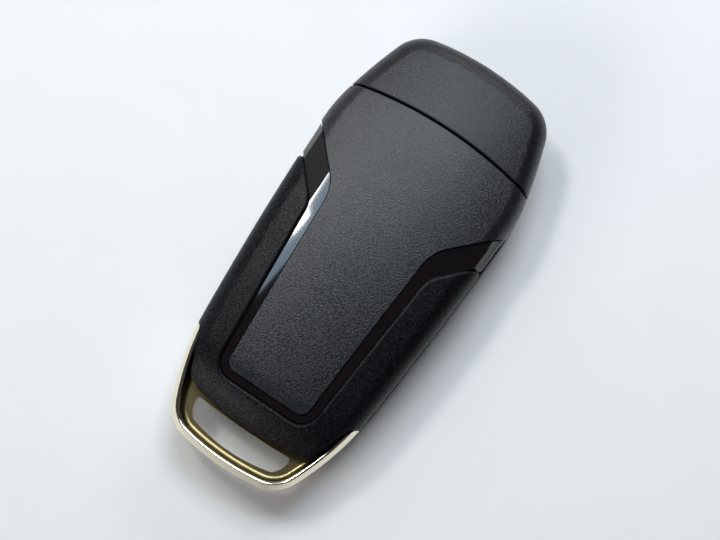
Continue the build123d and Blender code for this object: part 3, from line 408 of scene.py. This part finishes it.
def plated(name, colour, deep, roughness):
    """Bright plating: warmer and duller in broad patches, with a faint orange peel."""
    finish = Finish(name, roughness, metallic=1.0)
    marks = finish.group(HANDLING)
    finish.colour(marks.outputs["Smears"], colour, deep)
    finish.gloss(marks.outputs["Smears"], roughness, roughness + 0.1)
    peel = noise(finish.tree, finish.place, scale=420, detail=3, roughness=0.55)
    finish.relief(peel.outputs["Fac"], 0.03, strength=0.25)
    return finish.material


def loop_plating(name, colour, deep, floor_painted_shade, roughness, floor_roughness):
    """Bright plating on the loop's rim, satin on the sunk floor round the slot, with painted shade
    there: a darker colour on that floor.
    """
    finish = Finish(name, roughness, metallic=1.0)
    marks = finish.group(HANDLING)
    height = calculated(finish.tree, "SUBTRACT", axis_part(finish.tree, finish.place, "Z"),
                        SEAM_LEVEL * MM)
    height = calculated(finish.tree, "ABSOLUTE", height)
    low = remapped(finish.tree, height, FLOOR_LEVEL * MM, WALL_LEVEL * MM, to=(1.0, 0.0))
    floor = calculated(finish.tree, "MULTIPLY", low, finish.level_part(FLOOR_FACING))
    base = finish.colour(marks.outputs["Smears"], colour, deep)
    # Painted shade: the sunk floor round the slot is given a darker colour.
    finish.tint(base, floor, floor_painted_shade)
    finish.gloss(floor, roughness, floor_roughness)
    grain = noise(finish.tree, finish.place, scale=2600, detail=3, roughness=0.6)
    finish.relief(calculated(finish.tree, "MULTIPLY", grain.outputs["Fac"], floor), 0.006)
    return finish.material


def brushed_metal(name, colour, dark, roughness, stretch):
    """Milled metal with fine lines along the tool's path."""
    finish = Finish(name, roughness, metallic=1.0)
    lines = finish.group(BRUSHED, Stretch=stretch)
    finish.colour(lines.outputs["Lines"], dark, colour)
    finish.gloss(lines.outputs["Lines"], roughness - 0.08, roughness + 0.1)
    finish.relief(lines.outputs["Height"], 0.01, strength=0.6)
    return finish.material


def board_finish():
    """Solder mask with copper tracks showing through it."""
    finish = Finish("Solder Mask", 0.3)
    tracks = add_node(finish.tree, "ShaderNodeTexBrick")
    tracks.inputs["Scale"].default_value = 260
    tracks.inputs["Mortar Size"].default_value = 0.03
    finish.tree.links.new(finish.place, tracks.inputs["Vector"])
    finish.colour(tracks.outputs["Fac"], (0.012, 0.09, 0.04), (0.03, 0.2, 0.08))
    finish.relief(tracks.outputs["Fac"], 0.03, strength=0.5)
    finish.shader.inputs["Coat Weight"].default_value = 0.6
    return finish.material


def rubber_finish(name, colour, light):
    """Soft moulded rubber with a bloom of dust."""
    finish = Finish(name, 0.62)
    fine = finish.group(FINE, Scale=4200.0)
    marks = finish.group(HANDLING)
    base = finish.colour(fine.outputs["Specks"], colour, light)
    dust = calculated(finish.tree, "MULTIPLY", marks.outputs["Dust"], 0.35)
    finish.tint(base, dust, (0.3, 0.3, 0.3))
    finish.gloss(marks.outputs["Smears"], 0.55, 0.7)
    finish.relief(fine.outputs["Height"], 0.03)
    finish.shader.inputs["Sheen Weight"].default_value = 0.15
    return finish.material


# Materials of the case

# In the grained plastics the dark colour is painted shade in the grain's valleys.
PANEL = grained_plastic(
    "Panel Leather Grain", dark=(0.005, 0.005, 0.008), light=(0.0135, 0.0138, 0.02),
    scale=4000.0, depth=0.03, roughness=0.36, shine=(0.6, 0.42))
HEAD = grained_plastic(
    "Head Leather Grain", dark=(0.005, 0.005, 0.0075), light=(0.0095, 0.0097, 0.014),
    scale=4200.0, depth=0.024, roughness=0.38, shine=(0.5, 0.34))
GRIP = grained_plastic(
    "Grip Leather Grain", dark=(0.002, 0.0018, 0.0032), light=(0.0062, 0.0058, 0.0092),
    scale=4000.0, depth=0.022, roughness=0.4, shine=(0.24, 0.11))
FRONT = fine_plastic(
    "Front Satin", dark=(0.006, 0.0055, 0.0078), light=(0.012, 0.0115, 0.014),
    scale=4200.0, depth=0.012, roughness=0.45)
GLOSS = gloss_plastic(
    "Trim Gloss", colour=(0.0035, 0.0022, 0.003), smeared=(0.005, 0.0032, 0.004))
# The darker colour of the loop's sunk floor is painted shade.
CHAMPAGNE = loop_plating(
    "Champagne Plating", colour=(0.93, 0.87, 0.7), deep=(0.88, 0.81, 0.63),
    floor_painted_shade=(0.24, 0.195, 0.095), roughness=0.07, floor_roughness=0.3)
BRIGHT = plated(
    "Bright Plating", colour=(0.85, 0.85, 0.86), deep=(0.76, 0.77, 0.79), roughness=0.07)

# Materials of the blade and of what moves it

BLADE = brushed_metal(
    "Blade Steel", colour=(0.56, 0.55, 0.53), dark=(0.38, 0.38, 0.37), roughness=0.4,
    stretch=(9000, 500, 9000))
CARRIER = brushed_metal(
    "Carrier Die Cast", colour=(0.5, 0.5, 0.52), dark=(0.4, 0.4, 0.41), roughness=0.42,
    stretch=(2600, 2600, 2600))
SCREW = brushed_metal(
    "Screw Steel", colour=(0.36, 0.36, 0.38), dark=(0.22, 0.22, 0.23), roughness=0.35,
    stretch=(5000, 5000, 900))
SPRING = brushed_metal(
    "Spring Wire", colour=(0.6, 0.61, 0.63), dark=(0.45, 0.46, 0.47), roughness=0.3,
    stretch=(6000, 6000, 1200))

# Materials of what lies inside, and of the buttons

CELL = brushed_metal(
    "Cell Steel", colour=(0.74, 0.74, 0.76), dark=(0.6, 0.6, 0.62), roughness=0.28,
    stretch=(700, 6000, 6000))
CONTACT = brushed_metal(
    "Contact Nickel", colour=(0.76, 0.74, 0.7), dark=(0.62, 0.6, 0.56), roughness=0.25,
    stretch=(6000, 700, 6000))
TRAY = fine_plastic(
    "Tray Plastic", dark=(0.09, 0.09, 0.1), light=(0.14, 0.14, 0.15),
    scale=3000.0, depth=0.03, roughness=0.5)
CHIP = fine_plastic(
    "Chip Epoxy", dark=(0.02, 0.02, 0.022), light=(0.05, 0.05, 0.052),
    scale=6000.0, depth=0.02, roughness=0.5)
CERAMIC = fine_plastic(
    "Passive Ceramic", dark=(0.32, 0.22, 0.14), light=(0.5, 0.38, 0.26),
    scale=6000.0, depth=0.01, roughness=0.4)
FERRITE = fine_plastic(
    "Coil Ferrite", dark=(0.06, 0.05, 0.045), light=(0.2, 0.1, 0.05),
    scale=5000.0, depth=0.05, roughness=0.45)
POTTING = gloss_plastic(
    "Transponder Potting", colour=(0.02, 0.02, 0.024), smeared=(0.04, 0.04, 0.045),
    roughness=0.2)
RUBBER = rubber_finish("Mat Rubber", colour=(0.16, 0.16, 0.17), light=(0.24, 0.24, 0.25))
BUTTON = rubber_finish("Button Rubber", colour=(0.018, 0.018, 0.02), light=(0.035, 0.035, 0.038))
PRINT = fine_plastic(
    "Symbol Print", dark=(0.5, 0.5, 0.51), light=(0.64, 0.64, 0.65),
    scale=5000.0, depth=0.004, roughness=0.5)
MASK = board_finish()

NODE_FINISHES = {
    "rear_panel": PANEL, "head_cap": HEAD, "rear_shell": GRIP, "front_shell": FRONT,
    "gloss_trim": GLOSS, "button_bezel": GLOSS, "keyring_frame": CHAMPAGNE,
    "release_ring": BRIGHT, "release_button": BRIGHT, "key_blade": BLADE,
    "blade_carrier": CARRIER, "blade_pin": SCREW, "case_screws": SCREW, "flip_spring": SPRING,
    "coin_cell": CELL, "battery_contact_positive": CONTACT, "battery_contact_negative": CONTACT,
    "tact_switches": CELL, "crystal": CELL, "inner_tray": TRAY, "microcontroller": CHIP,
    "board_components": CERAMIC, "antenna_coil": FERRITE, "transponder_chip": POTTING,
    "button_mat": RUBBER, "lock_button": BUTTON, "unlock_button": BUTTON, "boot_button": BUTTON,
    "circuit_board": MASK,
}
for name, finish in NODE_FINISHES.items():
    for slot in nodes[name].material_slots:
        slot.material = finish


# Smooth shells over the moulded and plated nodes: the edge angle in degrees from which each
# stays sharp, and those whose back follows the crown
SHARP_ANGLES = {
    "rear_panel": 30, "head_cap": 30, "rear_shell": 30, "front_shell": 30, "gloss_trim": 5,
    "button_bezel": 32, "keyring_frame": 34, "release_ring": 32, "release_button": 32,
    "lock_button": 32, "unlock_button": 32, "boot_button": 32, "key_blade": 32,
    "blade_carrier": 32,
}
CROWNED = ("rear_panel", "head_cap", "rear_shell", "gloss_trim")


def select_only(piece):
    """Makes one object the only selected and active one."""
    bpy.ops.object.select_all(action="DESELECT")
    piece.select_set(True)
    bpy.context.view_layer.objects.active = piece


def surface_of(piece):
    """A piece's surface, to measure distances and cast rays on."""
    return BVHTree.FromPolygons([v.co for v in piece.data.vertices],
                                [f.vertices[:] for f in piece.data.polygons])


def crown_normal(place):
    """The normal of the crowned back at a place: a sideways arc, swept along a longer one."""
    x, y, z = place / MM
    across = asin(max(-SIDE_LIMIT, min(SIDE_LIMIT, x / CROWN_R)))
    along = atan2(CROWN_Y - y, z - CROWN_TOP + LENGTH_R)
    if along > TAIL_START:
        centre_y = CROWN_Y - (LENGTH_R - TAIL_R) * sin(TAIL_START)
        centre_z = CROWN_TOP - LENGTH_R + (LENGTH_R - TAIL_R) * cos(TAIL_START)
        along = min(atan2(centre_y - y, z - centre_z), TAIL_END)
    return Vector((sin(across), -cos(across) * sin(along), cos(across) * cos(along)))


def follow_crown(mesh):
    """Gives the faces that lie on the crown its true normals, and all that run smoothly into it."""
    normals = [corner.vector.copy() for corner in mesh.corner_normals]
    on_crown = set()
    for face in mesh.polygons:
        if face.normal.angle(crown_normal(face.center)) < CROWN_MATCH:
            on_crown.update((mesh.loops[i].vertex_index, tuple(round(c, 3) for c in normals[i]))
                            for i in face.loop_indices)
    for i, loop in enumerate(mesh.loops):
        if (loop.vertex_index, tuple(round(c, 3) for c in normals[i])) in on_crown:
            normals[i] = crown_normal(mesh.vertices[loop.vertex_index].co)
    mesh.normals_split_custom_set(normals)


def on_fold(first, last):
    """Whether an edge between two places runs along one of the trim's folds."""
    beside = all(abs(abs(end.x) - FOLD_SIDE) < NEAR and end.z > FOLD_FLOOR
                 for end in (first, last))
    return beside and abs(first.y - last.y) > FOLD_RUN


def on_slot_rim(first, last):
    """Whether an edge between two places lies on the rim of the loop's slot."""
    return all(abs(abs(end.z - SEAM_LEVEL) - SLOT_RISE) < NEAR and abs(end.x) < SLOT_SIDE
               and SLOT_LOW < end.y < SLOT_HIGH for end in (first, last))


def on_rim_level(first, last):
    """Whether an edge between two places lies as far off the seam as the loop's own edges."""
    return all(abs(end.z - SEAM_LEVEL) > RIM_LEVEL for end in (first, last))


def round_edges(skin, chosen, rounding, least_angle=0):
    """Rounds the edges that a test on their ends chooses, where their faces turn far enough."""
    width, segments = rounding
    select_only(skin)
    bpy.ops.object.mode_set(mode="EDIT")
    bpy.ops.mesh.select_mode(type="EDGE")
    bpy.ops.mesh.select_all(action="DESELECT")
    bpy.ops.object.mode_set(mode="OBJECT")
    places = [vertex.co / MM for vertex in skin.data.vertices]
    sides = {}
    for face in skin.data.polygons:
        for key in face.edge_keys:
            sides.setdefault(key, []).append(face.normal)
    for edge in skin.data.edges:
        normals = sides.get(edge.key, [])
        if len(normals) == 2:
            angle = degrees(normals[0].angle(normals[1]))
            edge.select = angle >= least_angle and chosen(*(places[i] for i in edge.vertices))
    bpy.ops.object.mode_set(mode="EDIT")
    bpy.ops.mesh.bevel(offset=width * MM, segments=segments, profile=0.5, clamp_overlap=True)
    bpy.ops.object.mode_set(mode="OBJECT")


def pull_back(skin, name, reach, gap):
    """Draws the walls of a skin that stand along a node away from it, and keeps its slopes."""
    neighbour = surface_of(nodes[name])
    slopes = {i: face.normal.copy() for face in skin.data.polygons
              if face.normal.z > SLOPE_FACING for i in face.vertices}
    for vertex in skin.data.vertices:
        nearest, _, _, _ = neighbour.find_nearest(vertex.co, reach * MM)
        if nearest is None:
            continue
        away = vertex.co - nearest
        away.z = 0
        if away.length > 0:
            step = away.normalized() * gap * MM
            slope = slopes.get(vertex.index)
            if slope:
                step.z = -(slope.x * step.x + slope.y * step.y) / slope.z
            vertex.co += step


def smooth_skin(name, angle):
    """A welded, smooth-shaded copy of a node that stands for it."""
    source = nodes[name]
    skin = source.copy()
    skin.data = source.data.copy()
    skin.name = name.replace("_", " ").title().replace(" ", "") + "Skin"
    skin.parent = None
    bpy.context.scene.collection.objects.link(skin)
    select_only(skin)
    bpy.ops.object.mode_set(mode="EDIT")
    bpy.ops.mesh.select_all(action="SELECT")
    bpy.ops.mesh.customdata_custom_splitnormals_clear()
    bpy.ops.mesh.remove_doubles(threshold=WELD * MM)
    bpy.ops.mesh.dissolve_limited(angle_limit=FLAT_JOINT)
    bpy.ops.object.mode_set(mode="OBJECT")
    if name == "gloss_trim":
        round_edges(skin, on_fold, FOLD_ROUNDING)
        pull_back(skin, "rear_panel", GROOVE_REACH, GROOVE)
    if name == "keyring_frame":
        round_edges(skin, on_slot_rim, RIM_ROUNDING)
        round_edges(skin, on_rim_level, WALL_ROUNDING, SQUARE_ANGLE)
    bpy.ops.object.shade_smooth_by_angle(angle=radians(angle))
    if name == "keyring_frame":
        bpy.ops.object.modifier_add(type="WEIGHTED_NORMAL")
        skin.modifiers[-1].keep_sharp = True
    if name in CROWNED:
        follow_crown(skin.data)
    body = source["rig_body"]
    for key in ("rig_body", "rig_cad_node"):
        if key in skin:
            del skin[key]
    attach(skin, body)
    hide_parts(name)


for name, angle in SHARP_ANGLES.items():
    smooth_skin(name, angle)


# Printed symbols on the remote buttons, in millimetres as seen with the head up

def arc(middle, radius, start, end, steps=ARC_STEPS):
    """Points along an arc between two angles in degrees."""
    angles = [radians(start + (end - start) * i / steps) for i in range(steps + 1)]
    return [(middle[0] + radius * cos(a), middle[1] + radius * sin(a)) for a in angles]


def rounded_box(left, right, low, high, radius):
    """The outline of a box with rounded corners."""
    return (arc((right - radius, high - radius), radius, 90, 0, CORNER_STEPS)
            + arc((right - radius, low + radius), radius, 0, -90, CORNER_STEPS)
            + arc((left + radius, low + radius), radius, -90, -180, CORNER_STEPS)
            + arc((left + radius, high - radius), radius, 180, 90, CORNER_STEPS))


def print_symbol(name, button, body, outlines, lines):
    """Closed outlines and open lines, printed on the dished face of a button."""
    bpy.ops.object.select_all(action="DESELECT")
    bpy.ops.curve.primitive_bezier_curve_add(location=(0, 0, 0))
    symbol = bpy.context.active_object
    symbol.name = name
    curve = symbol.data
    curve.splines.clear()
    for points, closed in [(line, True) for line in outlines] + [(line, False) for line in lines]:
        spline = curve.splines.new("POLY")
        spline.points.add(len(points) - 1)
        spline.use_cyclic_u = closed
        for point, (across, up) in zip(spline.points, points):
            point.co = (-across * SYMBOL_SCALE * MM, up * SYMBOL_SCALE * MM, 0, 1)
    curve.dimensions = "3D"
    curve.bevel_depth = STROKE * MM / 2
    curve.bevel_resolution = 1
    curve.use_fill_caps = True
    bpy.ops.object.convert(target="MESH")
    places = [vertex.co for vertex in nodes[button].data.vertices]
    middle = [(min(p[i] for p in places) + max(p[i] for p in places)) / 2 for i in (0, 1)]
    face = surface_of(nodes[button])
    for vertex in symbol.data.vertices:
        place = Vector((middle[0] + vertex.co.x, middle[1] + vertex.co.y, BELOW_TABLE * MM))
        height = face.ray_cast(place, Vector((0, 0, 1)))[0].z
        place.z = height + vertex.co.z * PRINT_RISE
        vertex.co = place
    select_only(symbol)
    bpy.ops.object.shade_smooth_by_angle(angle=PRINT_ANGLE)
    symbol.data.materials.clear()
    symbol.data.materials.append(PRINT)
    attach(symbol, body)


PADLOCK = [rounded_box(-1.3, 1.3, -1.5, 0.4, 0.3)]
KEYHOLE = [(0, -0.85), (0, -0.3)]
CLOSED_BOW = [(-0.8, 0.4)] + arc((0, 0.8), 0.8, 180, 0) + [(0.8, 0.4)]
OPEN_BOW = [(0.85, 0.4)] + arc((1.65, 1.0), 0.8, 180, 0) + [(2.45, 0.75)]
CAR = [[(-1.65, -0.6), (-2.2, -0.6), (-2.2, -0.1), (-1.35, 0.1), (-0.75, 0.75), (0.55, 0.75),
        (1.15, 0.15), (2.0, 0.05), (2.1, -0.6), (1.6, -0.6)] + arc((1.15, -0.6), 0.45, 0, 180)
       + arc((-1.2, -0.6), 0.45, 0, 180)]
WHEELS = [arc((1.15, -0.65), 0.22, 0, 330), arc((-1.2, -0.65), 0.22, 0, 330)]
RAISED_LID = [(0.75, 0.85), (1.95, 1.5)]
print_symbol("LockSymbol", "lock_button", "lock", PADLOCK, [KEYHOLE, CLOSED_BOW])
print_symbol("UnlockSymbol", "unlock_button", "unlock", PADLOCK, [KEYHOLE, OPEN_BOW])
print_symbol("BootSymbol", "boot_button", "boot", CAR + WHEELS, [RAISED_LID])


# Floor, light and camera, in metres unless a line says otherwise

TABLE_SIZE = 3.0
WINDOW_SIDE = (-0.95, 0.31, 0.0)
ROOM_LIGHT = ((0.5, (0.05, 0.05, 0.055)), (0.95, (0.6, 0.63, 0.68)))

# The camera: its angles in degrees, its distance, its lens and sensor in millimetres, and
# what it looks at in millimetres, with a step to its right and down
CAMERA_AZIMUTH = 34.0
CAMERA_ELEVATION = 80.2
CAMERA_DISTANCE = 0.224
CAMERA_NEAR = 0.01
LENS = 67.5
SENSOR = 36
AIM = (0, 0.2, 7.8)
AIM_RIGHT = 0.5
AIM_DOWN = 1.0


def make_floor():
    """The pale table that the key lies on."""
    bpy.ops.object.select_all(action="DESELECT")
    bpy.ops.mesh.primitive_plane_add(size=TABLE_SIZE, location=(0, 0, 0))
    floor = bpy.context.active_object
    floor.name = "Table"
    finish = Finish("Pale Table", 0.75)
    patches = noise(finish.tree, finish.place, scale=60, detail=3)
    finish.colour(patches.outputs["Fac"], (0.86, 0.865, 0.875), (0.9, 0.905, 0.915))
    fine = noise(finish.tree, finish.place, scale=900, detail=2)
    finish.relief(fine.outputs["Fac"], 0.05, strength=0.25)
    floor.data.materials.append(finish.material)


def soft_box(name, place, aim, size, power, colour=(1, 1, 1), roll=0.0):
    """A soft rectangular lamp that points at a place, rolled about its axis in degrees."""
    data = bpy.data.lights.new(name, "AREA")
    data.shape = "RECTANGLE"
    data.size, data.size_y = size
    data.energy = power
    data.color = colour
    lamp = bpy.data.objects.new(name, data)
    bpy.context.scene.collection.objects.link(lamp)
    direction = Vector(aim) - Vector(place)
    turn = direction.to_track_quat("-Z", "Y") @ Quaternion((0, 0, 1), radians(roll))
    lamp.rotation_euler = turn.to_euler()
    lamp.location = place


def make_world():
    """A dim room that grows lighter towards the windows on the left."""
    world = bpy.data.worlds.new("Studio")
    bpy.context.scene.world = world
    world.use_nodes = True
    tree = world.node_tree
    tree.nodes.clear()
    output = add_node(tree, "ShaderNodeOutputWorld", location=OUTPUT_PLACE)
    back = add_node(tree, "ShaderNodeBackground", location=SHADER_PLACE)
    tree.links.new(back.outputs["Background"], output.inputs["Surface"])
    place = add_node(tree, "ShaderNodeTexCoord")
    side = add_node(tree, "ShaderNodeVectorMath", operation="DOT_PRODUCT")
    side.inputs[1].default_value = WINDOW_SIDE
    tree.links.new(place.outputs["Generated"], side.inputs[0])
    ramp = add_node(tree, "ShaderNodeValToRGB")
    for element, (position, colour) in zip(ramp.color_ramp.elements, ROOM_LIGHT):
        element.position = position
        element.color = (*colour, 1)
    tree.links.new(side.outputs["Value"], ramp.inputs["Fac"])
    tree.links.new(ramp.outputs["Color"], back.inputs["Color"])


def make_camera():
    """The camera at the photograph's angle, from high over the back of the key."""
    azimuth, elevation = radians(CAMERA_AZIMUTH), radians(CAMERA_ELEVATION)
    back = Vector((sin(azimuth) * cos(elevation), -cos(azimuth) * cos(elevation),
                   sin(elevation)))
    right = Vector((cos(azimuth), sin(azimuth), 0))
    up = back.cross(right)
    aim = Vector(AIM) * MM + right * AIM_RIGHT * MM - up * AIM_DOWN * MM
    data = bpy.data.cameras.new("Camera")
    data.lens = LENS
    data.sensor_width = SENSOR
    data.clip_start = CAMERA_NEAR
    camera = bpy.data.objects.new("Camera", data)
    bpy.context.scene.collection.objects.link(camera)
    camera.matrix_world = Matrix((
        (right.x, up.x, back.x, 0), (right.y, up.y, back.y, 0), (right.z, up.z, back.z, 0),
        (0, 0, 0, 1)))
    camera.location = aim + back * CAMERA_DISTANCE
    bpy.context.scene.camera = camera


make_floor()
make_world()
soft_box("Left Window", place=(-0.221, 0.076, 0.372), aim=(-0.01, 0.01, 0), size=(0.1, 0.05),
         power=0.4, colour=(1.0, 0.97, 0.9), roll=25)
soft_box("Window Glow", place=(-0.187, 0.076, 0.39), aim=(-0.01, 0.01, 0), size=(0.17, 0.08),
         power=0.12, colour=(0.6, 0.8, 1.0))
soft_box("Window Gleam", place=(-0.2, 0.052, 0.378), aim=(-0.01, 0.01, 0), size=(0.02, 0.04),
         power=0.06)
soft_box("Top Panel", place=(-0.05, 0.2, 0.4), aim=(0, 0.02, 0), size=(0.2, 0.16),
         power=1.0, colour=(0.84, 0.93, 1.0))
soft_box("Back Fill", place=(-0.15, 1.2, 0.6), aim=(0, 0, 0), size=(0.8, 0.4),
         power=4.5, colour=(1.0, 0.99, 0.98))
soft_box("Front Fill", place=(-0.45, -1.1, 0.6), aim=(0, 0, 0), size=(0.8, 0.4),
         power=6.0, colour=(1.0, 0.98, 0.95))
make_camera()
bpy.context.scene.view_settings.view_transform = "Standard"
